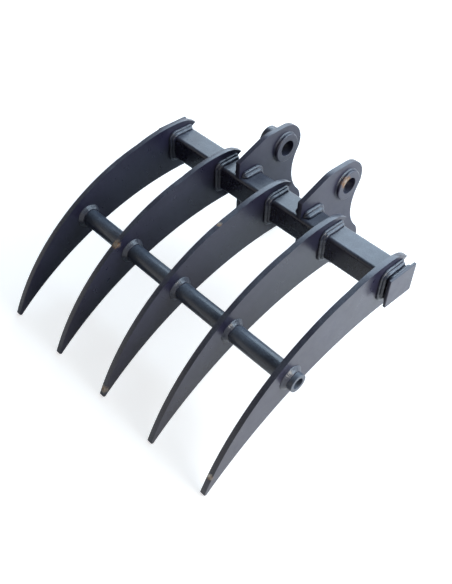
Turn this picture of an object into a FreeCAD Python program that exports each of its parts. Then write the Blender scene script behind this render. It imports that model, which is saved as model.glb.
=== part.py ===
# Excavator rake: five curved plate tines on a square hollow beam, tied by a cross tube,
# and two ears behind the beam that take the two pins of the machine.
#
# The section across the beam is drawn first, with y to the back, z up and the middle of the
# beam at zero. The whole rake is then tipped back so that it rests on its tine tips and on
# the lower ends of its ears, as it does on a floor. All sizes are in millimetres.

import FreeCAD, Part
import math
import os

# Beam: square hollow section that runs from cap to cap
beam_size = 60.0
beam_wall = 5.0
beam_corner = 8.0
beam_stub = 19.0

# Tines: flat cut plates, tapering from the beam to the tip
tine_count = 5
tine_pitch = 156.0
tine_thickness = 12.0
tip_reach = 491.0
tip_drop = 254.0
tip_width = 6.0
tip_slope = 52.0
back_radius = 497.0
shoulder_reach = 125.0
shoulder_rise = 41.0
crown_reach = 5.0
crown_rise = 55.4
crown_radius = 350.0
belly_radius = 732.0

# Root of the tine, which hooks over the front of the beam
beak_radius = 82.0
beak_overhang = 11.5
beak_bottom = 35.5
beak_round = 2.0
heel_reach = 10.0
heel_depth = 36.0
heel_back = 24.0

# Cross tube, which runs through every tine
tube_diameter = 40.0
tube_wall = 8.0
tube_from_tip = 211.0
tube_above_belly = 47.9
tube_overhang = 20.0

# End caps of the beam
cap_thickness = 6.0
cap_depth = 82.0
cap_height = 71.0
cap_corner = 2.0

# Ears: two plates slotted on to the beam from behind
ear_spacing = 182.0
ear_thickness = 12.0
ear_end_radius = 53.0
ear_waist_radius = 107.0
ear_front_setback = 2.0
ear_front_top = 68.0
ear_brow_slope = 22.7
ear_brow_round = 85.0
ear_jaw_setback = 10.0
ear_jaw_depth = 64.0

# Pin bores, measured from the middle of the beam
upper_pin_back = 115.0
upper_pin_rise = 50.0
lower_pin_back = 140.0
lower_pin_drop = 135.0
pin_diameter = 38.0
bush_diameter = 70.0
bush_length = 30.0
bush_chamfer = 2.0

# Collars on the outer side of the left ear, each drilled across for the bolt that locks a pin
collar_diameter = 56.0
collar_length = 33.0
collar_chamfer = 1.5
lock_bolt_hole = 13.0

# Fits and welds
seat_gap = 0.2
tube_gap = 0.3
weld_leg = 9.5
tube_weld_leg = 7.0
bush_weld_leg = 5.0
cap_weld_leg = 5.0
ear_weld_leg = 10.0
collar_weld_leg = 4.0
weld_swell = 0.2

# Places that follow from the sizes above
beam_half = beam_size / 2
outer_tine_x = tine_pitch * (tine_count - 1) / 2
outer_face_x = outer_tine_x + tine_thickness / 2
beam_half_length = outer_face_x + beam_stub
tip_angle = math.radians(tip_slope)
upper_pin = (upper_pin_back, upper_pin_rise)
lower_pin = (lower_pin_back, -lower_pin_drop)
ear_front = -beam_half + ear_front_setback
ear_jaw_front = -beam_half + ear_jaw_setback
along = FreeCAD.Vector(1, 0, 0)


def at(place, x=0.0):
    """Point of the section plane (y, z), at a station x along the beam."""
    return FreeCAD.Vector(x, place[0], place[1])


def line(a, b):
    """Straight edge between two points of the section."""
    return Part.LineSegment(at(a), at(b)).toShape()


def arc_through(a, b, centre, way):
    """Round edge from a to b about a centre, turning anticlockwise (1) or clockwise (-1)."""
    start = math.atan2(a[1] - centre[1], a[0] - centre[0])
    end = math.atan2(b[1] - centre[1], b[0] - centre[0])
    turn = ((end - start) * way) % (2 * math.pi) * way
    radius = math.hypot(a[0] - centre[0], a[1] - centre[1])
    half = start + turn / 2
    middle = (centre[0] + radius * math.cos(half), centre[1] + radius * math.sin(half))
    return Part.Arc(at(a), at(middle), at(b)).toShape()


def arc_centre(a, b, radius, way):
    """Centre of the arc of a given radius from a to b, of less than half a turn."""
    span = math.hypot(b[0] - a[0], b[1] - a[1])
    rise = math.sqrt(radius ** 2 - span ** 2 / 4) * way
    across = ((a[1] - b[1]) / span, (b[0] - a[0]) / span)
    return ((a[0] + b[0]) / 2 + across[0] * rise, (a[1] + b[1]) / 2 + across[1] * rise)


def arc_of_radius(a, b, radius, way):
    """Round edge of less than half a turn, of a given radius, from a to b."""
    return arc_through(a, b, arc_centre(a, b, radius, way), way)


def plate(edges, x, thickness):
    """Flat plate of a closed outline, centred on the station x."""
    outline = Part.Face(Part.Wire(Part.__sortEdges__(edges)))
    outline.translate(along * (x - thickness / 2))
    return outline.extrude(along * thickness)


def rod(place, diameter, start, end):
    """Round bar along the beam from x = start to x = end."""
    return Part.makeCylinder(diameter / 2, end - start, at(place, start), along)


def square_bar(width, height, corner, start, end):
    """Rectangular bar about the middle of the beam, with round corners along its length."""
    bar = Part.makeBox(end - start, width, height, at((-width / 2, -height / 2), start))
    return bar.makeFillet(corner, [e for e in bar.Edges if is_along(e)])


def is_along(edge):
    """True for an edge that runs along the beam."""
    way = edge.Vertexes[-1].Point - edge.Vertexes[0].Point
    return abs(way.x) > abs(way.y) + abs(way.z)


def tine_tip():
    """Outer and inner corner of the blunt end of a tine."""
    half = tip_width / 2
    side = (-math.sin(tip_angle) * half, math.cos(tip_angle) * half)
    outer = (-tip_reach + side[0], -tip_drop + side[1])
    inner = (-tip_reach - side[0], -tip_drop - side[1])
    return outer, inner


def beam_corner_middle():
    """Middle of the round back corner of the beam, on top, at the seat of a tine."""
    place = beam_half + seat_gap - beam_corner * (1 - math.sqrt(0.5))
    return (place, place)


def tine_heel():
    """Point under the beam where the inner edge of a tine ends."""
    return (heel_reach, -beam_half - heel_depth)


def tube_centre():
    """Centre of the cross tube: behind the tips, and above the inner edges of the tines."""
    inner = tine_tip()[1]
    belly = arc_centre(tine_heel(), inner, belly_radius, 1)
    y = -tip_reach + tube_from_tip
    edge = belly[1] + math.sqrt(belly_radius ** 2 - (y - belly[0]) ** 2)
    return (y, edge + tube_above_belly)


def tine(x):
    """Curved plate tine, notched to hook over the top, front and bottom of the beam."""
    outer, inner = tine_tip()
    shoulder = (-shoulder_reach, shoulder_rise)
    crown = (-crown_reach, crown_rise)
    nose = (beam_half + beak_overhang, beak_bottom + beak_round)
    over_nose = (nose[0] - beak_round, nose[1] + beak_round)
    under_nose = (nose[0] - beak_round, beak_bottom)
    corner = beam_corner_middle()
    heel_inside = (heel_back, 0.0)
    heel_top = (heel_back, -beam_half)
    edges = [
        arc_of_radius(outer, shoulder, back_radius, -1),
        arc_of_radius(shoulder, crown, crown_radius, -1),
        arc_of_radius(crown, over_nose, beak_radius, -1),
        Part.Arc(at(over_nose), at(nose), at(under_nose)).toShape(),
        line(under_nose, corner),
        line(corner, heel_inside),
        line(heel_inside, heel_top),
        arc_of_radius(heel_top, tine_heel(), heel_depth, -1),
        arc_of_radius(tine_heel(), inner, belly_radius, 1),
        line(inner, outer),
    ]
    blank = plate(edges, x, tine_thickness)
    start = x - tine_thickness
    end = x + tine_thickness
    notch_size = beam_size + 2 * seat_gap
    notch = square_bar(notch_size, notch_size, beam_corner, start, end)
    hole = rod(tube_centre(), tube_diameter + 2 * tube_gap, start, end)
    return blank.cut(notch).cut(hole)


def main_beam():
    """Square hollow section, open at both ends until the caps close it."""
    outside = square_bar(beam_size, beam_size, beam_corner, -beam_half_length, beam_half_length)
    clear = beam_size - 2 * beam_wall
    inside = square_bar(
        clear, clear, beam_corner - beam_wall, -beam_half_length, beam_half_length
    )
    return outside.cut(inside)


def cross_tube():
    """Thick round tube, which stands out past the outer tines with open ends."""
    end = outer_face_x + tube_overhang
    outside = rod(tube_centre(), tube_diameter, -end, end)
    return outside.cut(rod(tube_centre(), tube_diameter - 2 * tube_wall, -end, end))


def end_cap(side):
    """Plate that closes one end of the beam, larger than the section all round."""
    inner = side * beam_half_length
    outer = side * (beam_half_length + cap_thickness)
    return square_bar(cap_depth, cap_height, cap_corner, min(inner, outer), max(inner, outer))


def waist_centre():
    """Centre of the hollow arc between the two round ends of an ear."""
    across = (lower_pin[0] - upper_pin[0], lower_pin[1] - upper_pin[1])
    span = math.hypot(*across)
    reach = math.sqrt((ear_end_radius + ear_waist_radius) ** 2 - span ** 2 / 4)
    middle = ((upper_pin[0] + lower_pin[0]) / 2, (upper_pin[1] + lower_pin[1]) / 2)
    return (middle[0] - across[1] / span * reach, middle[1] + across[0] / span * reach)


def towards(a, b, distance):
    """Point that lies a distance from a on the way to b."""
    span = math.hypot(b[0] - a[0], b[1] - a[1])
    return (a[0] + (b[0] - a[0]) * distance / span, a[1] + (b[1] - a[1]) * distance / span)


def lower_tangent(corner, centre, radius):
    """Point where a line from a corner touches the underside of a round end."""
    across = (centre[0] - corner[0], centre[1] - corner[1])
    span = math.hypot(*across)
    slope = math.atan2(across[1], across[0]) - math.asin(radius / span)
    reach = math.sqrt(span ** 2 - radius ** 2)
    return (corner[0] + reach * math.cos(slope), corner[1] + reach * math.sin(slope))


def ear_outline():
    """Outline of an ear: brow, upper round end, waist, lower round end and jaw."""
    brow = math.radians(ear_brow_slope)
    top = upper_pin[1] + ear_end_radius
    front = (ear_front, ear_front_top)
    knee = (ear_front + (top - ear_front_top) / math.tan(brow), top)
    bend = ear_brow_round * math.tan(brow / 2)
    bend_start = towards(knee, front, bend)
    bend_end = (knee[0] + bend, top)
    crest = (upper_pin[0], top)
    waist = waist_centre()
    upper_leave = towards(waist, upper_pin, ear_waist_radius)
    lower_meet = towards(waist, lower_pin, ear_waist_radius)
    jaw = (ear_jaw_front, -ear_jaw_depth)
    lower_leave = lower_tangent(jaw, lower_pin, ear_end_radius)
    return [
        line(front, bend_start),
        arc_of_radius(bend_start, bend_end, ear_brow_round, -1),
        line(bend_end, crest),
        arc_through(crest, upper_leave, upper_pin, -1),
        arc_through(upper_leave, lower_meet, waist, 1),
        arc_through(lower_meet, lower_leave, lower_pin, -1),
        line(lower_leave, jaw),
        line(jaw, (ear_jaw_front, -beam_half / 2)),
        line((ear_jaw_front, -beam_half / 2), (ear_front, beam_half / 2)),
        line((ear_front, beam_half / 2), front),
    ]


def ear(side):
    """Ear plate with its slot for the beam and its two holes for the bushes."""
    x = side * ear_spacing / 2
    blank = plate(ear_outline(), x, ear_thickness)
    slot_size = beam_size + 2 * seat_gap
    slot = square_bar(
        slot_size, slot_size, beam_corner, x - ear_thickness, x + ear_thickness
    )
    blank = blank.cut(slot)
    for pin in (upper_pin, lower_pin):
        hole = bush_diameter + 2 * seat_gap
        blank = blank.cut(rod(pin, hole, x - ear_thickness, x + ear_thickness))
    return blank


def pin_bush(side, pin):
    """Bush that stands proud on both faces of its ear and carries the pin."""
    x = side * ear_spacing / 2
    half = bush_length / 2
    body = rod(pin, bush_diameter, x - half, x + half)
    rims = [e for e in body.Edges if e.Closed]
    body = body.makeChamfer(bush_chamfer, rims)
    return body.cut(rod(pin, pin_diameter, x - half, x + half))


def pin_collar(pin):
    """Collar on the outer end of a bush of the left ear, drilled across for a lock bolt."""
    inner = -ear_spacing / 2 - bush_length / 2
    outer = inner - collar_length
    body = rod(pin, collar_diameter, outer, inner)
    rims = [e for e in body.Edges if e.BoundBox.XMax < inner and e.Closed]
    body = body.makeChamfer(collar_chamfer, rims)
    body = body.cut(rod(pin, pin_diameter, outer, inner))
    place = at((pin[0] - collar_diameter, pin[1]), (inner + outer) / 2)
    across = FreeCAD.Vector(0, 1, 0)
    return body.cut(Part.makeCylinder(lock_bolt_hole / 2, 2 * collar_diameter, place, across))


def collar_weld(pin):
    """Ring of weld between a collar and the bush that it stands on."""
    face_x = -ear_spacing / 2 - bush_length / 2
    return round_bead(pin, collar_diameter, face_x, -1, collar_weld_leg)


def bead_profile(root, out, away, leg, runs):
    """Cross-section of a fillet weld: its two legs, and a round swell for each run of weld."""
    foot = root + away * leg
    top = root + out * leg
    swell = (out + away) * (leg * weld_swell / runs)
    sides = [Part.LineSegment(top, root).toShape(), Part.LineSegment(root, foot).toShape()]
    for run in range(runs):
        near = foot + (top - foot) * (run / runs)
        far = foot + (top - foot) * ((run + 1) / runs)
        sides.append(Part.Arc(near, (near + far) * 0.5 + swell, far).toShape())
    return Part.Wire(sides)


def round_bead(pin, diameter, face_x, side, leg):
    """Ring of weld round a tube or bush, on the face of the plate it passes through."""
    root = at((pin[0] + diameter / 2 + seat_gap, pin[1]), face_x)
    profile = bead_profile(root, FreeCAD.Vector(0, 1, 0), along * side, leg, 1)
    return Part.Face(profile).revolve(at(pin, face_x), along, 360)


def path_bead(path, face_x, side, leg, runs):
    """Weld bead of one or more runs along a path round the beam, on the face of a plate."""
    spine = Part.Wire(path)
    spine.translate(along * face_x)
    first = spine.OrderedEdges[0]
    begin = spine.OrderedVertexes[0].Point
    run = first.tangentAt(first.FirstParameter)
    if (first.valueAt(first.FirstParameter) - begin).Length > seat_gap:
        run = first.tangentAt(first.LastParameter) * -1
    out = run.cross(along)
    if out.dot(begin - at((0, 0), face_x)) < 0:
        out = out * -1
    profile = bead_profile(begin, out, along * side, leg, runs)
    return spine.makePipeShell([profile], True, True)


def beam_turn(corner_y, corner_z, way):
    """Quarter turn of a weld path round one corner of the beam."""
    reach = beam_half + seat_gap
    turn = beam_corner
    centre = (corner_y * (reach - turn), corner_z * (reach - turn))
    on_side = (corner_y * reach, centre[1])
    on_flat = (centre[0], corner_z * reach)
    ends = (on_flat, on_side) if corner_y * corner_z * way < 0 else (on_side, on_flat)
    return ends, arc_through(ends[0], ends[1], centre, way)


def beam_path(begin, corners, finish, way):
    """Weld path along the faces of the beam, with a quarter turn at each corner."""
    edges = []
    last = begin
    for corner in corners:
        ends, turn = beam_turn(corner[0], corner[1], way)
        edges += [line(last, ends[0]), turn]
        last = ends[1]
    return edges + [line(last, finish)]


def both_faces(x, thickness, make):
    """The pair of beads on the two faces of one plate."""
    half = thickness / 2
    return Part.Compound([make(x - half, -1), make(x + half, 1)])


def tine_beam_weld(x):
    """Beads along the top, front and bottom of the beam, on both faces of a tine."""
    reach = beam_half + seat_gap
    centre = (reach - beam_corner, reach - beam_corner)
    begin = (centre[0], reach)
    finish = (heel_back, -reach)

    def bead(face_x, side):
        path = [arc_through(beam_corner_middle(), begin, centre, 1)]
        path += beam_path(begin, [(-1, 1), (-1, -1)], finish, 1)
        return path_bead(path, face_x, side, weld_leg, 2)

    return both_faces(x, tine_thickness, bead)


def ear_beam_weld(side):
    """Beads along the top, back and bottom of the beam, on both faces of an ear."""
    reach = beam_half + seat_gap
    begin = (ear_front + beam_corner, reach)
    finish = (ear_jaw_front, -reach)

    def bead(face_x, out):
        path = beam_path(begin, [(1, 1), (1, -1)], finish, -1)
        return path_bead(path, face_x, out, ear_weld_leg, 2)

    return both_faces(side * ear_spacing / 2, ear_thickness, bead)


def tine_tube_weld(x):
    """Ring of weld round the cross tube, on both faces of a tine."""

    def bead(face_x, side):
        return round_bead(tube_centre(), tube_diameter, face_x, side, tube_weld_leg)

    return both_faces(x, tine_thickness, bead)


def bush_weld(side, pin):
    """Ring of weld round a bush, on both faces of its ear."""

    def bead(face_x, out):
        return round_bead(pin, bush_diameter, face_x, out, bush_weld_leg)

    return both_faces(side * ear_spacing / 2, ear_thickness, bead)


def cap_weld(side):
    """Bead all round the beam where it meets the end cap."""
    reach = beam_half + seat_gap
    begin = (0.0, reach)
    path = beam_path(begin, [(1, 1), (1, -1), (-1, -1), (-1, 1)], begin, -1)
    return path_bead(path, side * beam_half_length, -side, cap_weld_leg, 1)


def all_pieces():
    """Every piece of the rake by name, in the section frame of the beam."""
    pieces = {"main_beam": main_beam(), "cross_tube": cross_tube()}
    for number in range(1, tine_count + 1):
        x = (number - 1) * tine_pitch - outer_tine_x
        pieces[f"tine_{number}"] = tine(x)
        pieces[f"tine_{number}_beam_weld"] = tine_beam_weld(x)
        pieces[f"tine_{number}_tube_weld"] = tine_tube_weld(x)
    for name, side in (("left", -1), ("right", 1)):
        pieces[f"end_cap_{name}"] = end_cap(side)
        pieces[f"end_cap_{name}_weld"] = cap_weld(side)
        pieces[f"ear_{name}"] = ear(side)
        pieces[f"ear_{name}_beam_weld"] = ear_beam_weld(side)
        for level, pin in (("upper", upper_pin), ("lower", lower_pin)):
            pieces[f"bush_{name}_{level}"] = pin_bush(side, pin)
            pieces[f"bush_{name}_{level}_weld"] = bush_weld(side, pin)
    for level, pin in (("upper", upper_pin), ("lower", lower_pin)):
        pieces[f"pin_collar_{level}"] = pin_collar(pin)
        pieces[f"pin_collar_{level}_weld"] = collar_weld(pin)
    return pieces


def rest_angle():
    """Angle of the floor line that touches the tine tips and the lower ear ends, in degrees."""
    tip = tine_tip()[1]
    touch = lower_tangent(tip, lower_pin, ear_end_radius)
    return math.degrees(math.atan2(touch[1] - tip[1], touch[0] - tip[0]))


def stand_on_floor(pieces):
    """Tips the rake on to its tips and ears, with the origin at the middle of its footprint."""
    for shape in pieces.values():
        shape.rotate(FreeCAD.Vector(0, 0, 0), along, -rest_angle())
    bounds = Part.Compound(list(pieces.values())).optimalBoundingBox(False, False)
    home = FreeCAD.Vector(0, -(bounds.YMin + bounds.YMax) / 2, -bounds.ZMin)
    for shape in pieces.values():
        shape.translate(home)


def main():
    os.makedirs("parts", exist_ok=True)
    pieces = all_pieces()
    stand_on_floor(pieces)
    for name, shape in pieces.items():
        shape.exportStep(f"parts/{name}.step")


main()
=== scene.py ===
import math

import bmesh
import bpy
from bpy.props import FloatProperty, FloatVectorProperty, PointerProperty
from mathutils import Matrix, Vector


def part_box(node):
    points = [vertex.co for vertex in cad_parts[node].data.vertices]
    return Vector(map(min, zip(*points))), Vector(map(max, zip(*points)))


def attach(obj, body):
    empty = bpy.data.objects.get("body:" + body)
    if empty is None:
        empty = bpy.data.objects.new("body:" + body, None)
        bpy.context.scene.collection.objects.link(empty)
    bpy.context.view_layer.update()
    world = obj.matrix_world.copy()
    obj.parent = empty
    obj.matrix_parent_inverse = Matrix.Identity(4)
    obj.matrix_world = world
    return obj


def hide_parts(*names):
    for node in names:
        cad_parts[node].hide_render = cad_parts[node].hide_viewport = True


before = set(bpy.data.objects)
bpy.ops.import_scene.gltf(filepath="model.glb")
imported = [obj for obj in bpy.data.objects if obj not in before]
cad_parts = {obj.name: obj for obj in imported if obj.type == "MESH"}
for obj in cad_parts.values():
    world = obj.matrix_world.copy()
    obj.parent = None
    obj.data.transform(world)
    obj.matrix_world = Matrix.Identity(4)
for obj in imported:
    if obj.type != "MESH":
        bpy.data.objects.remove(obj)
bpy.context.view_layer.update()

bl_info = {
    "name": "Excavator Rake",
    "version": (1, 0, 0),
    "blender": (4, 5, 0),
    "location": "3D View > Sidebar > Rake",
    "description": "Dresses the pieces of an excavator rake in enamel, weld and worn steel",
    "category": "Object",
}

PICTURE_WIDTH = 452
PICTURE_HEIGHT = 584

# Names of the rake's pieces
BODY = "root"
SIDES = ("left", "right")
LEVELS = ("upper", "lower")
TINES = sorted(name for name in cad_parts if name.startswith("tine_") and name.count("_") == 1)


# Sizes and colours that a user would change


class RakeSizes(bpy.types.PropertyGroup):
    """Sizes of the beam and of the finish: rounded edges and weld beads."""

    edge_round: FloatProperty(
        name="Edge round", description="Rounding of the cut edges of the plates",
        default=0.0009, unit="LENGTH", min=0.0)
    beam_size: FloatProperty(
        name="Beam size", description="Side of the square beam",
        default=0.060, unit="LENGTH", min=0.01)
    beam_corner: FloatProperty(
        name="Beam corner", description="Outer corner radius of the square beam",
        default=0.008, unit="LENGTH", min=0.0)
    tine_weld_leg: FloatProperty(
        name="Tine weld", description="Leg of the weld between a tine and the beam",
        default=0.0115, unit="LENGTH", min=0.0)
    ear_weld_leg: FloatProperty(
        name="Ear weld", description="Leg of the weld between an ear and the beam",
        default=0.0145, unit="LENGTH", min=0.0)
    tube_weld_leg: FloatProperty(
        name="Tube weld", description="Leg of the ring of weld round the cross tube",
        default=0.0100, unit="LENGTH", min=0.0)
    bush_weld_leg: FloatProperty(
        name="Bush weld", description="Leg of the ring of weld round a bush",
        default=0.0032, unit="LENGTH", min=0.0)
    collar_weld_leg: FloatProperty(
        name="Collar weld", description="Leg of the ring of weld round a pin collar",
        default=0.0048, unit="LENGTH", min=0.0)
    cap_weld_leg: FloatProperty(
        name="Cap weld", description="Leg of the weld round the beam at its end caps",
        default=0.0060, unit="LENGTH", min=0.0)
    ripple_pitch: FloatProperty(
        name="Ripple pitch", description="Distance from one ripple of a bead to the next",
        default=0.0032, unit="LENGTH", min=0.0005)
    ripple_height: FloatProperty(
        name="Ripple height", description="Height of the ripples of a bead",
        default=0.00015, unit="LENGTH", min=0.0)
    run_swell: FloatProperty(
        name="Run swell", description="How far each run of a bead bulges, as a share of its leg",
        default=0.24, min=0.0, max=0.5)
    ring_swell: FloatProperty(
        name="Ring swell", description="The same for a ring of weld, which is a little hollow",
        default=-0.06, min=-0.2, max=0.5)


class RakeColours(bpy.types.PropertyGroup):
    """Colours of the enamel, the steel under it, and the dust settled on it, whose colour also paints a pale
    sheen on faces that look up.
    """

    enamel: FloatVectorProperty(
        name="Enamel", description="Dark blue-black paint on the plates, beam, bushes and beads",
        default=(0.0128, 0.0112, 0.0265), subtype="COLOR", size=3, min=0.0, max=1.0)
    enamel_pale: FloatVectorProperty(
        name="Thin enamel", description="Paler tone where that paint lies thin or chalky",
        default=(0.026, 0.024, 0.048), subtype="COLOR", size=3, min=0.0, max=1.0)
    tube: FloatVectorProperty(
        name="Tube enamel", description="Paint on the cross tube, and the paler tone of the beads of weld",
        default=(0.028, 0.035, 0.056), subtype="COLOR", size=3, min=0.0, max=1.0)
    tube_pale: FloatVectorProperty(
        name="Thin tube enamel", description="Paler tone of the paint on the cross tube",
        default=(0.062, 0.076, 0.108), subtype="COLOR", size=3, min=0.0, max=1.0)
    steel: FloatVectorProperty(
        name="Bare steel", description="Steel where the paint has gone",
        default=(0.36, 0.33, 0.29), subtype="COLOR", size=3, min=0.0, max=1.0)
    rust: FloatVectorProperty(
        name="Rust", description="Light rust on bare steel",
        default=(0.23, 0.115, 0.048), subtype="COLOR", size=3, min=0.0, max=1.0)
    # Colour of the dust, also used as a painted sheen that lightens faces that look up
    dust_and_sheen: FloatVectorProperty(
        name="Dust and Sheen", description="Dust on faces that look up",
        default=(0.25, 0.28, 0.32), subtype="COLOR", size=3, min=0.0, max=1.0)
    floor: FloatVectorProperty(
        name="Floor", description="Pale studio floor",
        default=(0.66, 0.66, 0.66), subtype="COLOR", size=3, min=0.0, max=1.0)


class RakeStage(bpy.types.PropertyGroup):
    """Camera, lamps, sky and floor of the studio."""

    azimuth: FloatProperty(
        name="Azimuth", description="Turn of the camera about the rake, from straight in front",
        default=math.radians(48.80), subtype="ANGLE")
    elevation: FloatProperty(
        name="Elevation", description="Height of the camera above the horizon",
        default=math.radians(49.41), subtype="ANGLE")
    roll: FloatProperty(
        name="Roll", description="Tilt of the camera about its own line of sight",
        default=math.radians(-3.35), subtype="ANGLE")
    distance: FloatProperty(
        name="Distance", description="Distance from the camera to the point it looks at",
        default=1.640, unit="LENGTH")
    aim: FloatVectorProperty(
        name="Aim", description="Point that the camera looks at",
        default=(0.0488, -0.0185, 0.1), subtype="TRANSLATION", size=3)
    lens: FloatProperty(
        name="Lens", description="Focal length in millimetres",
        default=47.11, min=1.0)
    optical_centre: FloatProperty(
        name="Optical centre", description="Column of the picture that the lens points at",
        default=229.7)
    back_power: FloatProperty(
        name="Back lamp", description="Power of the long cool lamp behind the rake, in watts",
        default=146.0, min=0.0)
    back_colour: FloatVectorProperty(
        name="Back colour", description="Colour of the back and corner lamps, which the upper faces mirror",
        default=(0.66, 0.84, 1.0), subtype="COLOR", size=3, min=0.0, max=1.0)
    corner_power: FloatProperty(
        name="Corner lamp", description="Power of the cool lamp behind the right end of the rake, in watts",
        default=30.0, min=0.0)
    side_power: FloatProperty(
        name="Side lamp", description="Power of the soft lamp low on the right of the rake, in watts",
        default=21.0, min=0.0)
    side_colour: FloatVectorProperty(
        name="Side colour", description="Colour of the side lamp, which the faces of the tines mirror",
        default=(1.0, 0.94, 0.86), subtype="COLOR", size=3, min=0.0, max=1.0)
    sky: FloatProperty(
        name="Sky", description="Strength of the even light from all round",
        default=0.06, min=0.0)
    floor_size: FloatProperty(
        name="Floor size", description="Side of the square floor",
        default=12.0, unit="LENGTH")


# Places read from the frame


def middle(node):
    """Middle of the box round a piece."""
    low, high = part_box(node)
    return (low + high) / 2


def size_along(node, axis):
    """Length of a piece along one axis."""
    low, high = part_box(node)
    return high[axis] - low[axis]


def turned_radius(node):
    """Radius of a round piece that lies along the beam."""
    return size_along(node, 1) / 2


def beam_lean():
    """How far the square beam is turned about its length, from the height of its box."""
    sizes = bpy.context.scene.rake_sizes
    corners = 2 * sizes.beam_corner
    spread = (size_along("main_beam", 2) - corners) / (sizes.beam_size - corners)
    return math.asin(spread ** 2 - 1) / 2


def section_place(x, point):
    """Place in the frame of a point (back, up) of the beam's own cross-section, at a station x."""
    lean = beam_lean()
    centre = middle("main_beam")
    back = Vector((0, math.cos(lean), -math.sin(lean)))
    up = Vector((0, math.sin(lean), math.cos(lean)))
    return Vector((x, centre.y, centre.z)) + back * point[0] + up * point[1]


def new_object(name, data):
    """New object of the scene that holds a mesh, a curve, a lamp or a camera."""
    made = bpy.data.objects.new(name, data)
    bpy.context.scene.collection.objects.link(made)
    return made


# Node helpers

# Where a mix node has its factor and its two colours, and where it gives out the mixed one
MIX_INPUTS = (0, 6, 7)
MIX_RESULT = 2


def feed(tree, sockets, values):
    """Gives each named socket its value, or a link where the value is itself a socket."""
    for name, value in values.items():
        if isinstance(value, bpy.types.NodeSocket):
            tree.links.new(value, sockets[name])
        else:
            sockets[name].default_value = value


def add_node(tree, kind, inputs=None, **settings):
    """New node with its settings, and a value or a link for each of its named inputs."""
    node = tree.nodes.new(kind)
    for name, value in settings.items():
        setattr(node, name, value)
    feed(tree, node.inputs, inputs or {})
    return node


def calculate(tree, operation, *values, clamp=False):
    """Result of a math node on values or sockets."""
    node = add_node(tree, "ShaderNodeMath", dict(enumerate(values)), operation=operation, use_clamp=clamp)
    return node.outputs[0]


def vector_calculate(tree, operation, *values):
    """Result of a vector math node on values or sockets."""
    node = add_node(tree, "ShaderNodeVectorMath", dict(enumerate(values)), operation=operation)
    return node.outputs["Value" if operation in {"DOT_PRODUCT", "DISTANCE"} else "Vector"]


def part_along(tree, vector, axis):
    """One part of a vector: X, Y or Z."""
    return add_node(tree, "ShaderNodeSeparateXYZ", {0: vector}).outputs[axis]


def add_shares(tree, *pairs):
    """Sum of two values, each given with its share."""
    return calculate(tree, "ADD", *[calculate(tree, "MULTIPLY", value, share) for value, share in pairs])


def blend_colours(tree, factor, first, second):
    """Colour between two colours."""
    inputs = dict(zip(MIX_INPUTS, (factor, first, second)))
    return add_node(tree, "ShaderNodeMix", inputs, data_type="RGBA").outputs[MIX_RESULT]


def remap(tree, value, low, high, to_low=0.0, to_high=1.0):
    """Value moved from one range to another, held inside it."""
    inputs = dict(enumerate((value, low, high, to_low, to_high)))
    return add_node(tree, "ShaderNodeMapRange", inputs, clamp=True).outputs[0]


def noise(tree, vector, scale, detail=3.0, roughness=0.5, distortion=0.0):
    """Value of a noise texture, from 0 to 1."""
    return add_node(tree, "ShaderNodeTexNoise", {
        "Vector": vector, "Scale": scale, "Detail": detail,
        "Roughness": roughness, "Distortion": distortion}).outputs[0]


def new_group(name, kind, inputs, outputs):
    """Node group with named sockets, and its input and output nodes."""
    tree = bpy.data.node_groups.new(name, kind)
    for socket, (socket_type, value) in inputs.items():
        made = tree.interface.new_socket(name=socket, in_out="INPUT", socket_type=socket_type)
        if value is not None:
            made.default_value = value
    for socket, socket_type in outputs.items():
        tree.interface.new_socket(name=socket, in_out="OUTPUT", socket_type=socket_type)
    return tree, tree.nodes.new("NodeGroupInput").outputs, tree.nodes.new("NodeGroupOutput").inputs


def use_group(tree, name, inputs):
    """Places a shared group in a material with its own values."""
    return add_node(tree, "ShaderNodeGroup", inputs, node_tree=bpy.data.node_groups[name]).outputs


# Shared effects


def edge_wear_group():
    """Mask of chipped paint along sharp edges."""
    tree, given, result = new_group("Edge Wear", "ShaderNodeTree", {
        "Vector": ("NodeSocketVector", None),
        "Radius": ("NodeSocketFloat", 0.002),
        "Amount": ("NodeSocketFloat", 0.4),
        "Chip Size": ("NodeSocketFloat", 160.0),
    }, {"Wear": "NodeSocketFloat"})
    crispness = 14.0
    rounded = add_node(tree, "ShaderNodeBevel", {"Radius": given["Radius"]}, samples=6)
    plain = tree.nodes.new("ShaderNodeNewGeometry")
    flatness = vector_calculate(tree, "DOT_PRODUCT", rounded.outputs[0], plain.outputs["Normal"])
    edge = remap(tree, flatness, low=0.995, high=0.86)
    chips = noise(tree, given["Vector"], scale=given["Chip Size"], detail=5.0, roughness=0.62)
    patches = noise(tree, given["Vector"], scale=14.0, detail=2.0)
    worn = calculate(tree, "MULTIPLY", edge, calculate(tree, "MULTIPLY", chips, patches))
    limit = remap(tree, given["Amount"], low=0.0, high=1.0, to_low=0.7, to_high=0.08)
    above = calculate(tree, "SUBTRACT", worn, limit)
    tree.links.new(calculate(tree, "MULTIPLY", above, crispness, clamp=True), result["Wear"])


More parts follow.
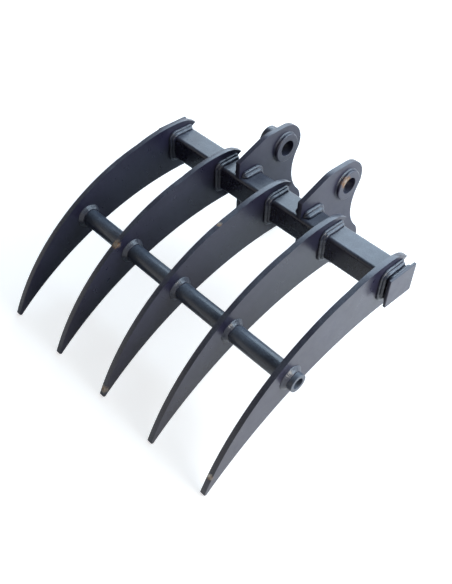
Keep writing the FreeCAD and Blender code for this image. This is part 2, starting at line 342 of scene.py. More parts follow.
def enamel_group():
    """Uneven gloss, tone and orange peel of brushed and sprayed enamel on hot-rolled steel."""
    tree, given, result = new_group("Enamel Coat", "ShaderNodeTree", {
        "Vector": ("NodeSocketVector", None),
        "Peel Size": ("NodeSocketFloat", 620.0),
    }, {"Tone": "NodeSocketFloat", "Gloss": "NodeSocketFloat", "Height": "NodeSocketFloat"})
    peel = noise(tree, given["Vector"], scale=given["Peel Size"], detail=2.0)
    plate = noise(tree, given["Vector"], scale=46.0, roughness=0.55)
    cloud = noise(tree, given["Vector"], scale=9.0, detail=4.0, roughness=0.6, distortion=0.4)
    mottle = noise(tree, given["Vector"], scale=210.0, detail=4.0, roughness=0.65)
    tone = add_shares(tree, (cloud, 0.65), (mottle, 0.35))
    gloss = add_shares(tree, (plate, 0.6), (mottle, 0.4))
    height = add_shares(tree, (peel, 0.35), (plate, 0.65))
    tree.links.new(remap(tree, tone, low=0.36, high=0.68), result["Tone"])
    tree.links.new(remap(tree, gloss, low=0.3, high=0.7), result["Gloss"])
    tree.links.new(height, result["Height"])


def dust_and_sheen_group():
    """Mask of fine dust on faces that look up, which also paints on them the pale sheen that light from
    above gives.
    """
    tree, given, result = new_group("Settled Dust", "ShaderNodeTree", {
        "Vector": ("NodeSocketVector", None),
        "Amount": ("NodeSocketFloat", 0.2),
    }, {"Dust and Sheen": "NodeSocketFloat"})
    normal = tree.nodes.new("ShaderNodeNewGeometry").outputs["Normal"]
    upward = remap(tree, part_along(tree, normal, "Z"), low=0.35, high=0.98)
    specks = noise(tree, given["Vector"], scale=330.0, detail=5.0, roughness=0.7)
    drifts = noise(tree, given["Vector"], scale=22.0, roughness=0.6)
    both = calculate(tree, "MULTIPLY", specks, drifts)
    spread = remap(tree, both, low=0.14, high=0.42, to_low=0.15)
    mask = calculate(tree, "MULTIPLY", calculate(tree, "MULTIPLY", upward, spread), given["Amount"])
    tree.links.new(mask, result["Dust and Sheen"])


def worn_spot_group():
    """Mask of one rubbed patch, ragged at its border, about a point of the part."""
    tree, given, result = new_group("Worn Spot", "ShaderNodeTree", {
        "Vector": ("NodeSocketVector", None),
        "Centre": ("NodeSocketVector", None),
        "Reach": ("NodeSocketFloat", 0.01),
    }, {"Spot": "NodeSocketFloat"})
    raggedness = 1.5
    away = vector_calculate(tree, "DISTANCE", given["Vector"], given["Centre"])
    share = calculate(tree, "DIVIDE", away, given["Reach"])
    ragged = noise(tree, given["Vector"], scale=190.0, detail=5.0, roughness=0.7)
    border = calculate(tree, "ADD", share, calculate(tree, "MULTIPLY", ragged, raggedness))
    tree.links.new(remap(tree, border, low=1.75, high=1.25), result["Spot"])


def rust_group():
    """Colour between bare steel and light rust."""
    tree, given, result = new_group("Bare Metal", "ShaderNodeTree", {
        "Vector": ("NodeSocketVector", None),
        "Steel": ("NodeSocketColor", None),
        "Rust": ("NodeSocketColor", None),
        "Rust Share": ("NodeSocketFloat", 0.5),
    }, {"Color": "NodeSocketColor", "Rusted": "NodeSocketFloat"})
    no_rust = 0.85
    crispness = 4.0
    bloom = noise(tree, given["Vector"], scale=85.0, detail=5.0, roughness=0.68)
    start = calculate(tree, "SUBTRACT", no_rust, given["Rust Share"])
    above = calculate(tree, "SUBTRACT", bloom, start)
    rusted = calculate(tree, "MULTIPLY", above, crispness, clamp=True)
    tree.links.new(blend_colours(tree, rusted, given["Steel"], given["Rust"]), result["Color"])
    tree.links.new(rusted, result["Rusted"])


def cut_edge_group():
    """Fine drag lines of the torch across the thickness of a cut plate."""
    tree, given, result = new_group("Cut Edge", "ShaderNodeTree", {
        "Vector": ("NodeSocketVector", None),
    }, {"Height": "NodeSocketFloat"})
    drawn_out = (0.06, 1.0, 1.0)
    normal = tree.nodes.new("ShaderNodeNewGeometry").outputs["Normal"]
    sideways = calculate(tree, "ABSOLUTE", part_along(tree, normal, "X"))
    on_edge = remap(tree, sideways, low=0.75, high=0.3)
    stretched = vector_calculate(tree, "MULTIPLY", given["Vector"], drawn_out)
    lines = noise(tree, stretched, scale=900.0, detail=2.0)
    tree.links.new(calculate(tree, "MULTIPLY", lines, on_edge), result["Height"])


# Materials

# Roughness of the lacquer, of clean and rusted metal, and what the dust and painted sheen add to that of the
# paint
LACQUER_ROUGHNESS = 0.16
STEEL_ROUGHNESS = 0.42
RUST_ROUGHNESS = 0.85
DUST_AND_SHEEN_ROUGHENING = 0.35

# How metallic clean bare steel is
STEEL_METALLIC = 0.85

# Relief of the paint: how strong and high it is, and what a chip and the drag lines of the torch add
RELIEF_STRENGTH = 0.16
RELIEF_HEIGHT = 0.00025
CHIP_DEPTH = 0.8
DRAG_LINE_HEIGHT = 0.8


def start_material(name):
    """New material with its shader and the place on the part."""
    material = bpy.data.materials.new(name)
    material.use_nodes = True
    tree = material.node_tree
    shader = tree.nodes["Principled BSDF"]
    place = tree.nodes.new("ShaderNodeTexCoord").outputs["Object"]
    return material, tree, shader, place


def painted(name, tones, wear, dust_and_sheen, spots=(), cut_edges=False,
            gloss=(0.25, 0.38), rust_share=0.45, lacquer=0.12):
    """Satin enamel over steel, chipped at its edges, with bare spots where it was rubbed."""
    colours = bpy.context.scene.rake_colours
    thick, thin = tones
    material, tree, shader, place = start_material(name)
    coat = use_group(tree, "Enamel Coat", {"Vector": place})
    chips = use_group(tree, "Edge Wear", {"Vector": place, "Amount": wear})
    bare = use_group(tree, "Bare Metal", {
        "Vector": place, "Steel": (*colours.steel, 1), "Rust": (*colours.rust, 1),
        "Rust Share": rust_share})
    # Dust on upward faces, and with it a painted sheen that lightens them as light from above would
    dust_and_sheen_film = use_group(tree, "Settled Dust", {"Vector": place, "Amount": dust_and_sheen})
    worn = chips["Wear"]
    for centre, reach in spots:
        rubbed = use_group(tree, "Worn Spot", {"Vector": place, "Centre": centre, "Reach": reach})
        worn = calculate(tree, "MAXIMUM", worn, rubbed["Spot"])
    covered = calculate(tree, "SUBTRACT", 1.0, worn)

    paint = blend_colours(tree, coat["Tone"], (*thick, 1), (*thin, 1))
    dust_and_sheen_paint = blend_colours(tree, dust_and_sheen_film["Dust and Sheen"], paint, (*colours.dust_and_sheen, 1))
    tree.links.new(blend_colours(tree, worn, dust_and_sheen_paint, bare["Color"]), shader.inputs["Base Color"])

    paint_rough = remap(tree, coat["Gloss"], 0.0, 1.0, *gloss)
    added = calculate(tree, "MULTIPLY", dust_and_sheen_film["Dust and Sheen"], DUST_AND_SHEEN_ROUGHENING)
    dust_and_sheen_rough = calculate(tree, "ADD", paint_rough, added)
    bare_rough = remap(tree, bare["Rusted"], 0.0, 1.0, STEEL_ROUGHNESS, RUST_ROUGHNESS)
    rough = add_shares(tree, (dust_and_sheen_rough, covered), (bare_rough, worn))
    tree.links.new(rough, shader.inputs["Roughness"])

    clean = calculate(tree, "SUBTRACT", 1.0, bare["Rusted"])
    metallic = calculate(tree, "MULTIPLY", worn, calculate(tree, "MULTIPLY", clean, STEEL_METALLIC))
    tree.links.new(metallic, shader.inputs["Metallic"])
    tree.links.new(calculate(tree, "MULTIPLY", covered, lacquer), shader.inputs["Coat Weight"])
    shader.inputs["Coat Roughness"].default_value = LACQUER_ROUGHNESS

    height = calculate(tree, "SUBTRACT", coat["Height"], calculate(tree, "MULTIPLY", worn, CHIP_DEPTH))
    if cut_edges:
        drag = use_group(tree, "Cut Edge", {"Vector": place})
        lines = calculate(tree, "MULTIPLY", drag["Height"], DRAG_LINE_HEIGHT)
        height = calculate(tree, "ADD", height, lines)
    bump = add_node(tree, "ShaderNodeBump", {
        "Height": height, "Strength": RELIEF_STRENGTH, "Distance": RELIEF_HEIGHT})
    tree.links.new(bump.outputs[0], shader.inputs["Normal"])
    return material


def worn_spot(x, start, back, up, reach):
    """Place of a worn spot at a station x, so far back and up from a start, and how far it reaches."""
    return Vector((x, start.y + back, start.z + up)), reach


def tine_spots():
    """Spots where the tines are rubbed bare: by the tube, on the crown of one, and near two tips."""
    second, third, fifth = TINES[1], TINES[2], TINES[4]
    tube = middle("cross_tube")
    return (
        worn_spot(middle(second).x, tube, back=-0.033, up=0.041, reach=0.012),
        worn_spot(middle(third).x, tube, back=0.212, up=0.111, reach=0.005),
        worn_spot(middle(third).x, tube, back=0.123, up=0.095, reach=0.007),
        worn_spot(middle(third).x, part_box(third)[0], back=0.010, up=0.018, reach=0.011),
        worn_spot(middle(fifth).x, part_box(fifth)[0], back=0.023, up=0.040, reach=0.008),
    )


def bush_spots():
    """Spot where a bush shows tan metal: the upper front of the right upper bore."""
    bush = "bush_right_upper"
    end_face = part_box(bush)[1].x
    return (worn_spot(end_face, middle(bush), back=-0.013, up=0.018, reach=0.016),)


def make_materials():
    """Every finish of the rake."""
    edge_wear_group()
    enamel_group()
    dust_and_sheen_group()
    worn_spot_group()
    rust_group()
    cut_edge_group()
    colours = bpy.context.scene.rake_colours
    body = (colours.enamel, colours.enamel_pale)
    bead = (colours.enamel, colours.tube)
    tube = (colours.tube, colours.tube_pale)
    # The dust amounts also set how much painted sheen lightens upward faces, most on the beads, tube and
    # beam
    return {
        "tine": painted("Tine enamel", body, wear=0.35, dust_and_sheen=0.3, spots=tine_spots(),
                        cut_edges=True, rust_share=0.44),
        "plate": painted("Ear and cap enamel", body, wear=0.3, dust_and_sheen=0.08,
                         cut_edges=True, gloss=(0.32, 0.46)),
        "beam": painted("Beam enamel", body, wear=0.2, dust_and_sheen=0.32, gloss=(0.22, 0.34)),
        "tube": painted("Tube enamel", tube, wear=0.0, dust_and_sheen=0.42, gloss=(0.25, 0.36)),
        "bush": painted("Bush enamel", body, wear=0.3, dust_and_sheen=0.25, spots=bush_spots(), rust_share=0.55),
        "weld": painted("Weld enamel", bead, wear=0.0, dust_and_sheen=0.5, gloss=(0.26, 0.36), lacquer=0.2),
    }


MATERIALS = {}


def finish_piece(piece, material_name, node):
    """Gives a piece its material and its body, and hides the piece of the frame it stands for."""
    if material_name:
        piece.data.materials.clear()
        piece.data.materials.append(MATERIALS[material_name])
    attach(piece, BODY)
    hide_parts(node)


def paint_node(node, material_name):
    """Puts a finish on a piece of the frame whose shape stays as it is."""
    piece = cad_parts[node]
    for index in range(len(piece.data.materials)):
        piece.data.materials[index] = MATERIALS[material_name]


# Plates and turned pieces

# Points nearer than this are one point, and faces that meet flatter than this are one face
FRAME_MERGE = 0.000002
FLAT_ANGLE = math.radians(0.6)

# Edges sharper than this are rounded, in so many steps
SHARP_ANGLE = math.radians(28)
ROUND_STEPS = 3

# A face whose normal has this share along the beam is an end face, and is shaded flat
END_FACE = 0.9995


def merged_copy(node, name):
    """Copy of a piece of the frame with its flat faces whole, ready for rounded edges."""
    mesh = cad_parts[node].data.copy()
    mesh.name = name
    work = bmesh.new()
    work.from_mesh(mesh)
    bmesh.ops.remove_doubles(work, verts=work.verts, dist=FRAME_MERGE)
    bmesh.ops.dissolve_limit(work, angle_limit=FLAT_ANGLE, verts=work.verts, edges=work.edges)
    for face in work.faces:
        face.smooth = True
    work.to_mesh(mesh)
    work.free()
    mesh.materials.clear()
    return new_object(name, mesh)


def made_plain(piece):
    """The piece with its modifiers worked into its mesh, or a mesh made of a curve."""
    graph = bpy.context.evaluated_depsgraph_get()
    mesh = bpy.data.meshes.new_from_object(piece.evaluated_get(graph), depsgraph=graph)
    mesh.name = piece.name
    if piece.type == "MESH":
        piece.modifiers.clear()
        piece.data = mesh
        return piece
    name = piece.name
    piece.name = name + "_path"
    plain = new_object(name, mesh)
    bpy.data.objects.remove(piece)
    return plain


def round_edges(node, name, material_name):
    """Replaces a piece of the frame with a copy whose edges are softly rounded."""
    piece = merged_copy(node, name)
    bevel = piece.modifiers.new("Rounded edges", "BEVEL")
    bevel.width = bpy.context.scene.rake_sizes.edge_round
    bevel.segments = ROUND_STEPS
    bevel.limit_method = "ANGLE"
    bevel.angle_limit = SHARP_ANGLE
    piece = made_plain(piece)
    for face in piece.data.polygons:
        face.use_smooth = abs(face.normal.x) < END_FACE
    finish_piece(piece, material_name, node)


# Paths of the welds

# Degrees from one point of an arc to the next, at the beam's corners and in a ring
CORNER_STEP = 9
RING_STEP = 6

# Corners of the beam's cross-section: which way each lies from its middle, back and up
UPPER_BACK = (1, 1)
UPPER_FRONT = (-1, 1)
LOWER_FRONT = (-1, -1)
LOWER_BACK = (1, -1)

# Where a bead ends on a flat side of the beam: shares of half its size, from the middle to the back
TINE_HEEL_END = 0.8
EAR_JAW_END = -0.66
EAR_TOP_END = -0.68


def arc(centre, radius, start, end):
    """Points of an arc in the beam's cross-section, between two angles in degrees."""
    steps = max(2, round(abs(end - start) / CORNER_STEP))
    angles = [math.radians(start + (end - start) * step / steps) for step in range(steps + 1)]
    return [(centre[0] + radius * math.cos(a), centre[1] + radius * math.sin(a)) for a in angles]


def beam_walk(*corners):
    """Points round the beam, on its faces: an arc for each corner and its two angles."""
    sizes = bpy.context.scene.rake_sizes
    corner = sizes.beam_corner
    flat = sizes.beam_size / 2 - corner
    points = []
    for (back, up), start, end in corners:
        points += arc((back * flat, up * flat), corner, start, end)
    return points


def tine_walk():
    """Path of a weld at a tine: from the upper back corner, over the front, to the heel."""
    half = bpy.context.scene.rake_sizes.beam_size / 2
    hook = beam_walk((UPPER_BACK, 45, 90), (UPPER_FRONT, 90, 180), (LOWER_FRONT, 180, 270))
    return hook + [(TINE_HEEL_END * half, -half)]


def ear_walk():
    """Path of a weld at an ear: from the jaw under the beam, round the back, to the front of the top."""
    half = bpy.context.scene.rake_sizes.beam_size / 2
    back = beam_walk((LOWER_BACK, -90, 0), (UPPER_BACK, 0, 90))
    return [(EAR_JAW_END * half, -half)] + back + [(EAR_TOP_END * half, half)]


def cap_walk():
    """Closed path of the weld round the beam at its end, without a second point where it closes."""
    whole = beam_walk((UPPER_BACK, 0, 90), (UPPER_FRONT, 90, 180),
                      (LOWER_FRONT, 180, 270), (LOWER_BACK, 270, 360))
    return whole[:-1]


def plate_stretches(plate, walk):
    """Stretches of weld in the corner between the beam and a plate, on both of its faces."""
    return [([section_place(face.x, point) for point in walk], False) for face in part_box(plate)]


def ring_stretch(x, node):
    """Closed path round a turned piece, at a station along the beam."""
    centre = middle(node)
    radius = turned_radius(node)
    angles = [math.radians(degrees) for degrees in range(0, 360, RING_STEP)]
    places = [Vector((x, centre.y + radius * math.cos(a), centre.z + radius * math.sin(a))) for a in angles]
    return places, True


def weld_path(name, stretches):
    """Curve of one or more stretches, each a list of places and whether it closes on itself."""
    curve = bpy.data.curves.new(name, "CURVE")
    curve.dimensions = "3D"
    for places, closed in stretches:
        spline = curve.splines.new("POLY")
        spline.points.add(len(places) - 1)
        for point, place in zip(spline.points, places):
            point.co = (*place, 1)
        spline.use_cyclic_u = closed
    return new_object(name, curve)


# Beads of weld

# Seams of a bead closer than this are closed
BEAD_MERGE = 0.000001

# Runs laid side by side in a bead along the beam
BEAM_RUNS = 2

# First seed of each family of beads
TINE_SEED = 0
EAR_SEED = 20
CAP_SEED = 30
TUBE_SEED = 40
BUSH_SEED = 50
COLLAR_SEED = 60


def bead_scale(tree, given, seat, along):
    """Leg of a bead at each place on its path: a little uneven, and rounded off at its two ends."""
    end_share = 0.7
    fullness = 1.05
    whole = tree.nodes.new("GeometryNodeSplineLength").outputs["Length"]
    to_end = calculate(tree, "MINIMUM", along, calculate(tree, "SUBTRACT", whole, along))
    share = calculate(tree, "DIVIDE", to_end, calculate(tree, "MULTIPLY", given["Leg"], end_share))
    short = calculate(tree, "SUBTRACT", 1.0, calculate(tree, "MINIMUM", share, 1.0))
    squared = calculate(tree, "MULTIPLY", short, short)
    rounded = calculate(tree, "SQRT", calculate(tree, "SUBTRACT", fullness, squared))
    closed = tree.nodes.new("GeometryNodeInputSplineCyclic").outputs[0]
    end_shape = calculate(tree, "MINIMUM", calculate(tree, "MAXIMUM", rounded, closed), 1.0)
    wander = add_node(tree, "ShaderNodeTexNoise", {
        "Vector": seat, "W": given["Seed"], "Scale": 90.0, "Detail": 2.0}, noise_dimensions="4D")
    width = remap(tree, wander.outputs[0], low=0.25, high=0.75, to_low=0.88, to_high=1.06)
    return calculate(tree, "MULTIPLY", calculate(tree, "MULTIPLY", given["Leg"], width), end_shape)


def bead_section(tree, given, across, out, run):
    """Turns a point of a round section into its place on a fillet of one or more rippled runs.

    The section is a triangle about its heart, whose two straight sides are sunk in the steel.
    """
    heart = 0.3
    sunk = 0.34
    least = 0.001
    crown_fullness = 0.7
    ripple_bow = 0.8
    outward = calculate(tree, "ADD", across, out)
    to_face = calculate(tree, "DIVIDE", 1 - 2 * heart, calculate(tree, "MAXIMUM", outward, least))
    inward = [calculate(tree, "MULTIPLY", part, -1.0) for part in (across, out)]
    to_sides = [calculate(tree, "DIVIDE", sunk, calculate(tree, "MAXIMUM", part, least)) for part in inward]
    inside = calculate(tree, "MINIMUM", *to_sides)
    reach = calculate(tree, "MINIMUM", to_face, inside)
    on_face = calculate(tree, "LESS_THAN", to_face, inside)
    slide = calculate(tree, "MULTIPLY", reach, calculate(tree, "SUBTRACT", across, out))
    lane = calculate(tree, "MULTIPLY", calculate(tree, "MULTIPLY_ADD", slide, 0.5, 0.5), given["Runs"])
    crown = calculate(tree, "ABSOLUTE", calculate(tree, "SINE", calculate(tree, "MULTIPLY", lane, math.pi)))
    crown = calculate(tree, "MULTIPLY", calculate(tree, "POWER", crown, crown_fullness), on_face)
    off_middle = calculate(tree, "MULTIPLY_ADD", calculate(tree, "FRACT", lane), 2.0, -1.0)
    bow = calculate(tree, "MULTIPLY", calculate(tree, "MULTIPLY", off_middle, off_middle), ripple_bow)
    phase = calculate(tree, "ADD", calculate(tree, "DIVIDE", run, given["Ripple Pitch"]), bow)
    wave = calculate(tree, "ABSOLUTE", calculate(tree, "SINE", calculate(tree, "MULTIPLY", phase, math.pi)))
    height = calculate(tree, "DIVIDE", given["Ripple Height"], given["Leg"])
    ripple = calculate(tree, "MULTIPLY", wave, height)
    bulge = calculate(tree, "MULTIPLY", crown, calculate(tree, "ADD", given["Swell"], ripple))
    return [calculate(tree, "ADD", calculate(tree, "MULTIPLY_ADD", reach, part, heart), bulge)
            for part in (across, out)]


def weld_run_tree():
    """Geometry nodes that lay a rippled fillet weld along each path of a curve."""
    tree, given, result = new_group("Weld Run", "GeometryNodeTree", {
        "Geometry": ("NodeSocketGeometry", None),
        "Leg": ("NodeSocketFloat", 0.01),
        "Runs": ("NodeSocketInt", 1),
        "Swell": ("NodeSocketFloat", 0.15),
        "Ripple Pitch": ("NodeSocketFloat", 0.003),
        "Ripple Height": ("NodeSocketFloat", 0.0003),
        "Plate Station": ("NodeSocketFloat", 0.0),
        "Seed": ("NodeSocketInt", 1),
        "Material": ("NodeSocketMaterial", None),
    }, {"Geometry": "NodeSocketGeometry"})
    steps_in_ripple = 5.0
    points_in_section = 30

    # The path, and what each of its points keeps for the section swept along it
    step = calculate(tree, "DIVIDE", given["Ripple Pitch"], steps_in_ripple)
    path = add_node(tree, "GeometryNodeResampleCurve", {
        "Curve": given["Geometry"], "Length": step}, mode="LENGTH")
    along = tree.nodes.new("GeometryNodeSplineParameter").outputs["Length"]
    seat = tree.nodes.new("GeometryNodeInputPosition").outputs[0]
    tangent = tree.nodes.new("GeometryNodeInputTangent").outputs[0]
    kept = add_node(tree, "GeometryNodeCaptureAttribute", domain="POINT")
    for kind, label in (("FLOAT", "Run"), ("VECTOR", "Seat"), ("VECTOR", "Way"), ("FLOAT", "Size")):
        kept.capture_items.new(kind, label)
    feed(tree, kept.inputs, {
        "Geometry": path.outputs[0], "Run": along, "Seat": seat, "Way": tangent,
        "Size": bead_scale(tree, given, seat, along)})
    ring = add_node(tree, "GeometryNodeCurvePrimitiveCircle", {
        "Resolution": points_in_section, "Radius": 1.0})
    swept = add_node(tree, "GeometryNodeCurveToMesh", {
        "Curve": kept.outputs["Geometry"], "Profile Curve": ring.outputs[0],
        "Scale": given["Leg"], "Fill Caps": True})

    # Each point of the sweep moves from its round section to its place on the fillet
    place = tree.nodes.new("GeometryNodeInputPosition").outputs[0]
    offset = vector_calculate(tree, "SUBTRACT", place, kept.outputs["Seat"])
    station = part_along(tree, kept.outputs["Seat"], "X")
    side = calculate(tree, "SIGN", calculate(tree, "SUBTRACT", station, given["Plate Station"]))
    away = add_node(tree, "ShaderNodeCombineXYZ", {"X": side}).outputs[0]
    out = vector_calculate(tree, "CROSS_PRODUCT", kept.outputs["Way"], (1.0, 0.0, 0.0))
    parts = [calculate(tree, "DIVIDE", vector_calculate(tree, "DOT_PRODUCT", offset, way), given["Leg"])
             for way in (away, out)]
    moves = []
    for way, share in zip((away, out), bead_section(tree, given, *parts, kept.outputs["Run"])):
        length = calculate(tree, "MULTIPLY", share, kept.outputs["Size"])
        move = add_node(tree, "ShaderNodeVectorMath", {0: way, "Scale": length}, operation="SCALE")
        moves.append(move.outputs[0])
    target = vector_calculate(tree, "ADD", kept.outputs["Seat"], vector_calculate(tree, "ADD", *moves))
    moved = add_node(tree, "GeometryNodeSetPosition", {"Geometry": swept.outputs[0], "Position": target})

    smooth = add_node(tree, "GeometryNodeSetShadeSmooth", {"Geometry": moved.outputs[0]})
    real = add_node(tree, "GeometryNodeRealizeInstances", {"Geometry": smooth.outputs[0]})
    coated = add_node(tree, "GeometryNodeSetMaterial", {
        "Geometry": real.outputs[0], "Material": given["Material"]})
    tree.links.new(coated.outputs[0], result["Geometry"])
    return tree


def close_seams(mesh):
    """Merges the seams of a mesh and turns its faces outwards."""
    work = bmesh.new()
    work.from_mesh(mesh)
    bmesh.ops.remove_doubles(work, verts=work.verts, dist=BEAD_MERGE)
    bmesh.ops.recalc_face_normals(work, faces=work.faces)
    work.to_mesh(mesh)
    work.free()


def lay_weld(node, stretches, leg, swell, station, seed, runs=1):
    """Rippled bead along each stretch, in the place of a plain weld of the frame."""
    sizes = bpy.context.scene.rake_sizes
    piece = weld_path(node.replace("_weld", "_bead"), stretches)
    tree = bpy.data.node_groups.get("Weld Run") or weld_run_tree()
    values = {
        "Leg": leg,
        "Runs": runs,
        "Swell": swell / runs,
        "Ripple Pitch": sizes.ripple_pitch,
        "Ripple Height": sizes.ripple_height,
        "Plate Station": station,
        "Seed": seed,
        "Material": MATERIALS["weld"],
    }
    modifier = piece.modifiers.new("Weld Run", "NODES")
    modifier.node_group = tree
    for socket in tree.interface.items_tree:
        if socket.in_out == "INPUT" and socket.name in values:
            modifier[socket.identifier] = values[socket.name]
    piece = made_plain(piece)
    close_seams(piece.data)
    finish_piece(piece, None, node)


# Stage

# Point that the back and corner lamps look at
LAMP_TARGET = (0, 0, 0.2)

# Width of the camera's sensor in millimetres, and how far it sees in metres
SENSOR_WIDTH = 36
CLIP_END = 50


def reflected_rays(tree, rays):
    """1 for a ray that comes from a shiny or clear surface, and 0 for any other."""
    outputs = rays.outputs
    return calculate(tree, "ADD", outputs["Is Glossy Ray"], outputs["Is Transmission Ray"], clamp=True)


def floor_material():
    """Pale floor that takes the shadow, and glows so that it looks white, most of all away from the rake.
    Its glow in reflections is a painted reflection, left out near the rake as painted shade.
    """
    under_tines = (-0.35, 0.1, 0.0)
    material, tree, shader, place = start_material("Studio floor")
    shader.inputs["Base Color"].default_value = (*bpy.context.scene.rake_colours.floor, 1)
    shader.inputs["Roughness"].default_value = 0.9
    shader.inputs["Specular IOR Level"].default_value = 0.0
    shader.inputs["Emission Color"].default_value = (1, 1, 1, 1)
    rays = tree.nodes.new("ShaderNodeLightPath")
    away = vector_calculate(tree, "DISTANCE", place, under_tines)
    # Painted reflection: reflected rays see the floor glow only away from a point under the tines, so near
    # the rake they show painted shade of the rake
    painted_reflection_glow = remap(tree, away, low=0.38, high=0.85, to_high=0.8)
    seen = remap(tree, away, low=0.8, high=2.4, to_low=0.72)
    painted_reflection_in_mirror = calculate(tree, "MULTIPLY", reflected_rays(tree, rays), painted_reflection_glow)
    glow = calculate(tree, "MULTIPLY_ADD", rays.outputs["Is Camera Ray"], seen, painted_reflection_in_mirror)
    tree.links.new(glow, shader.inputs["Emission Strength"])
    return material


def make_floor():
    """Wide flat floor under the rake."""
    half = bpy.context.scene.rake_stage.floor_size / 2
    mesh = bpy.data.meshes.new("studio_floor")
    corners = [(-half, -half, 0), (half, -half, 0), (half, half, 0), (-half, half, 0)]
    mesh.from_pydata(corners, [], [(0, 1, 2, 3)])
    mesh.materials.append(floor_material())
    floor = new_object("studio_floor", mesh)


def make_lamp(name, place, target, size, power, colour):
    """Soft flat lamp that looks at a point."""
    light = bpy.data.lights.new(name, "AREA")
    light.shape = "RECTANGLE"
    light.size, light.size_y = size
    light.energy = power
    light.color = colour
    lamp = new_object(name, light)
    lamp.location = place
    lamp.rotation_euler = (Vector(target) - Vector(place)).to_track_quat("-Z", "Y").to_euler()


def make_sky():
    """Even light from all round: white to the eye, and in reflections pale with a dark ceiling."""
    world = bpy.data.worlds.new("Studio")
    world.use_nodes = True
    tree = world.node_tree
    background = tree.nodes["Background"]
    background.inputs["Color"].default_value = (1, 1, 1, 1)
    rays = tree.nodes.new("ShaderNodeLightPath")
    level = bpy.context.scene.rake_stage.sky
    way = tree.nodes.new("ShaderNodeTexCoord").outputs["Generated"]
    ceiling = remap(tree, part_along(tree, way, "Z"), low=0.3, high=0.7, to_low=1.0, to_high=0.15)
    reflected = reflected_rays(tree, rays)
    seen = calculate(tree, "MULTIPLY_ADD", reflected, ceiling, rays.outputs["Is Camera Ray"])
    extra = calculate(tree, "MULTIPLY", seen, 1.0 - level)
    tree.links.new(calculate(tree, "ADD", extra, level), background.inputs["Strength"])
    bpy.context.scene.world = world


def make_camera():
    """Camera at the viewing angle of the photograph."""
    stage = bpy.context.scene.rake_stage
    level = math.cos(stage.elevation)
    towards = Vector((
        -math.sin(stage.azimuth) * level, math.cos(stage.azimuth) * level, -math.sin(stage.elevation)))
    data = bpy.data.cameras.new("Photo view")
    data.lens = stage.lens
    data.sensor_width = SENSOR_WIDTH
    data.clip_end = CLIP_END
    data.shift_x = (PICTURE_WIDTH / 2 - stage.optical_centre) / PICTURE_HEIGHT
    camera = new_object("Photo view", data)
    upright = towards.to_track_quat("-Z", "Y").to_matrix()
    turned = upright @ Matrix.Rotation(stage.roll, 3, "Z")
    camera.matrix_world = Matrix.Translation(Vector(stage.aim) - towards * stage.distance) @ turned.to_4x4()
    bpy.context.scene.camera = camera


# Operators


class RAKE_OT_finishes(bpy.types.Operator):
    """Make every enamel, bare metal and weld finish"""

    bl_idname = "rake.finishes"
    bl_label = "Finishes"

    def execute(self, context):
        MATERIALS.update(make_materials())
        return {"FINISHED"}


class RAKE_OT_tines(bpy.types.Operator):
    """Dress the five curved tines"""

    bl_idname = "rake.tines"
    bl_label = "Tines"

    def execute(self, context):
        for tine in TINES:
            round_edges(tine, tine + "_plate", "tine")
        return {"FINISHED"}


class RAKE_OT_ears(bpy.types.Operator):
    """Dress the two ear plates"""

    bl_idname = "rake.ears"
    bl_label = "Ears"

    def execute(self, context):
        for side in SIDES:
            round_edges(f"ear_{side}", f"ear_{side}_plate", "plate")
        return {"FINISHED"}


class RAKE_OT_beam(bpy.types.Operator):
    """Dress the square beam and its two end caps"""

    bl_idname = "rake.beam"
    bl_label = "Beam and caps"

    def execute(self, context):
        paint_node("main_beam", "beam")
        for side in SIDES:
            round_edges(f"end_cap_{side}", f"end_cap_{side}_plate", "plate")
        return {"FINISHED"}


class RAKE_OT_tube(bpy.types.Operator):
    """Dress the cross tube"""

    bl_idname = "rake.tube"
    bl_label = "Cross tube"

    def execute(self, context):
        round_edges("cross_tube", "cross_tube_turned", "tube")
        return {"FINISHED"}


class RAKE_OT_bushes(bpy.types.Operator):
    """Dress the pin bushes and the collars that lock the pins"""

    bl_idname = "rake.bushes"
    bl_label = "Bushes and collars"

    def execute(self, context):
        for level in LEVELS:
            round_edges(f"pin_collar_{level}", f"pin_collar_{level}_turned", "bush")
            for side in SIDES:
                node = f"bush_{side}_{level}"
                round_edges(node, node + "_turned", "bush")
        return {"FINISHED"}


class RAKE_OT_fillets(bpy.types.Operator):
    """Lay the rippled welds along the beam"""

    bl_idname = "rake.fillets"
    bl_label = "Beam welds"

    def execute(self, context):
        sizes = context.scene.rake_sizes
        for seed, tine in enumerate(TINES, TINE_SEED):
            lay_weld(f"{tine}_beam_weld", plate_stretches(tine, tine_walk()), sizes.tine_weld_leg,
                     sizes.run_swell, middle(tine).x, seed, runs=BEAM_RUNS)
        for seed, side in enumerate(SIDES, EAR_SEED):
            ear = f"ear_{side}"
            lay_weld(f"{ear}_beam_weld", plate_stretches(ear, ear_walk()), sizes.ear_weld_leg,
                     sizes.run_swell, middle(ear).x, seed, runs=BEAM_RUNS)
        for seed, side in enumerate(SIDES, CAP_SEED):
            cap = f"end_cap_{side}"
            low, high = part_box(cap)
            inner_face = low.x if side == "right" else high.x
            places = [section_place(inner_face, point) for point in cap_walk()]
            lay_weld(f"{cap}_weld", [(places, True)], sizes.cap_weld_leg,
                     sizes.run_swell, middle(cap).x, seed)
        return {"FINISHED"}


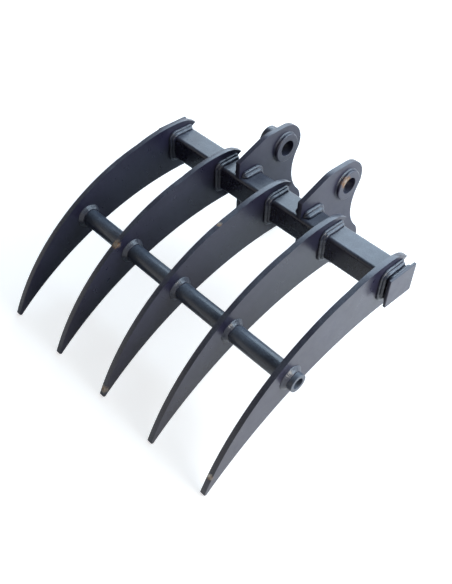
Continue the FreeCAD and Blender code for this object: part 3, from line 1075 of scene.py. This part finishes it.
class RAKE_OT_rings(bpy.types.Operator):
    """Lay the rings of weld round the tube, the bushes and the collars"""

    bl_idname = "rake.rings"
    bl_label = "Ring welds"

    def execute(self, context):
        sizes = context.scene.rake_sizes
        for seed, tine in enumerate(TINES, TUBE_SEED):
            rings = [ring_stretch(face.x, "cross_tube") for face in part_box(tine)]
            lay_weld(f"{tine}_tube_weld", rings, sizes.tube_weld_leg,
                     sizes.ring_swell, middle(tine).x, seed)
        for seed, side in enumerate(SIDES, BUSH_SEED):
            for level in LEVELS:
                bush = f"bush_{side}_{level}"
                rings = [ring_stretch(face.x, bush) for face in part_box(f"ear_{side}")]
                lay_weld(f"{bush}_weld", rings, sizes.bush_weld_leg,
                         sizes.ring_swell, middle(bush).x, seed)
        for seed, level in enumerate(LEVELS, COLLAR_SEED):
            collar = f"pin_collar_{level}"
            ring = ring_stretch(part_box(collar)[1].x, collar)
            lay_weld(f"{collar}_weld", [ring], sizes.collar_weld_leg,
                     sizes.ring_swell, middle(f"bush_left_{level}").x, seed)
        return {"FINISHED"}


class RAKE_OT_stage(bpy.types.Operator):
    """Set up the floor, the lamps and the camera"""

    bl_idname = "rake.stage"
    bl_label = "Stage"

    def execute(self, context):
        stage = context.scene.rake_stage
        context.scene.view_settings.view_transform = "Standard"
        make_floor()
        make_sky()
        make_lamp("Back lamp", place=(-0.05, 2.25, 1.75), target=LAMP_TARGET, size=(4.6, 2.1),
                  power=stage.back_power, colour=stage.back_colour)
        make_lamp("Corner lamp", place=(1.9, 1.1, 1.35), target=LAMP_TARGET, size=(1.1, 1.0),
                  power=stage.corner_power, colour=stage.back_colour)
        make_lamp("Side lamp", place=(2.0, 0.15, 0.75), target=(0, 0, 0.1), size=(0.8, 0.8),
                  power=stage.side_power, colour=stage.side_colour)
        make_camera()
        return {"FINISHED"}


OPERATORS = (
    RAKE_OT_finishes, RAKE_OT_tines, RAKE_OT_ears, RAKE_OT_beam, RAKE_OT_tube,
    RAKE_OT_bushes, RAKE_OT_fillets, RAKE_OT_rings, RAKE_OT_stage,
)


class RAKE_PT_panel(bpy.types.Panel):
    """Buttons for each group of pieces"""

    bl_idname = "RAKE_PT_panel"
    bl_label = "Excavator Rake"
    bl_space_type = "VIEW_3D"
    bl_region_type = "UI"
    bl_category = "Rake"

    def draw(self, context):
        for operator in OPERATORS:
            self.layout.operator(operator.bl_idname)


CLASSES = (RakeSizes, RakeColours, RakeStage, *OPERATORS, RAKE_PT_panel)


def register():
    """Adds the classes, and the sizes, colours and stage of the rake to the scene."""
    for item in CLASSES:
        bpy.utils.register_class(item)
    bpy.types.Scene.rake_sizes = PointerProperty(type=RakeSizes)
    bpy.types.Scene.rake_colours = PointerProperty(type=RakeColours)
    bpy.types.Scene.rake_stage = PointerProperty(type=RakeStage)


def unregister():
    """Takes them away again."""
    del bpy.types.Scene.rake_stage
    del bpy.types.Scene.rake_colours
    del bpy.types.Scene.rake_sizes
    for item in reversed(CLASSES):
        bpy.utils.unregister_class(item)


def main():
    """Makes the whole rake and its stage."""
    register()
    bpy.ops.rake.finishes()
    bpy.ops.rake.tines()
    bpy.ops.rake.ears()
    bpy.ops.rake.beam()
    bpy.ops.rake.tube()
    bpy.ops.rake.bushes()
    bpy.ops.rake.fillets()
    bpy.ops.rake.rings()
    bpy.ops.rake.stage()
    bpy.context.view_layer.update()


if __name__ == "__main__":
    main()
